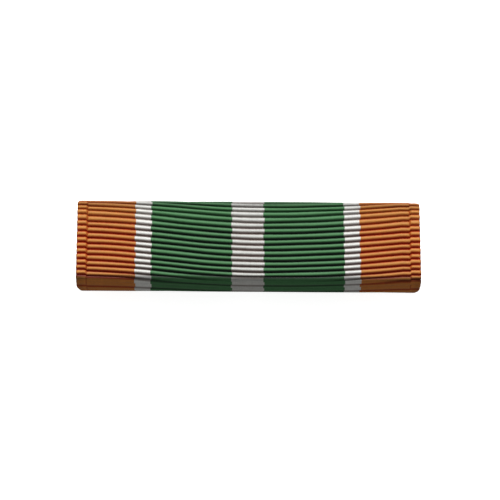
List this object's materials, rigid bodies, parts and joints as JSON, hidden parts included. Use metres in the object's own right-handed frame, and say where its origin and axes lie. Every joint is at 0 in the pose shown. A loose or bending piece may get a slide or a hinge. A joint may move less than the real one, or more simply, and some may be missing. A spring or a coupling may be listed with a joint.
{
  "type": "military service ribbon bar",
  "caption": "Striped service ribbon wrapped round a brass carrier that slides on to a flat bar with a brooch pin and a roll-over safety catch.",
  "frame": {"origin": "centre of the bar's outline, on the surface that the hinge and catch rest on when the bar lies on its back", "axes": "+Z out of the ribbon's front, +X along the bar's length to the viewer's right, +Y towards its upper long edge as worn"},
  "size_m": [0.035, 0.0096, 0.0049],
  "materials": {
    "ribbon": "ribbed woven, slight sheen",
    "tape": "matte",
    "carrier_brass": "satin rolled sheet",
    "mount_plate": "nickel plated, satin",
    "pin_steel": "nickel plated, bright"
  },
  "bodies": {
    "mount": {"mount_bar": "mount_plate", "hinge_bracket": "mount_plate", "hinge_rivet": "pin_steel", "catch_housing": "mount_plate"},
    "ribbon_unit": {"ribbon": "ribbon", "front_tape": "tape", "upper_lap_tape": "tape", "lower_lap_tape": "tape", "carrier": "carrier_brass"},
    "pin": {"pin_stem": "pin_steel"},
    "catch_lock": {"catch_roller": "pin_steel"}
  },
  "joints": [
    {"name": "ribbon_slide", "type": "slide", "parent": "mount", "child": "ribbon_unit", "axis": [1, 0, 0], "range_m": [0, 0.034]},
    {"name": "pin_hinge", "type": "hinge", "parent": "mount", "child": "pin", "pos_m": [-0.012, 0, 0.0014], "axis": [0, 1, 0], "range_deg": [0, 120]},
    {"name": "catch_turn", "type": "hinge", "parent": "mount", "child": "catch_lock", "pos_m": [0.0112, 0, 0.0014], "axis": [1, 0, 0], "range_deg": [0, 150]}
  ]
}
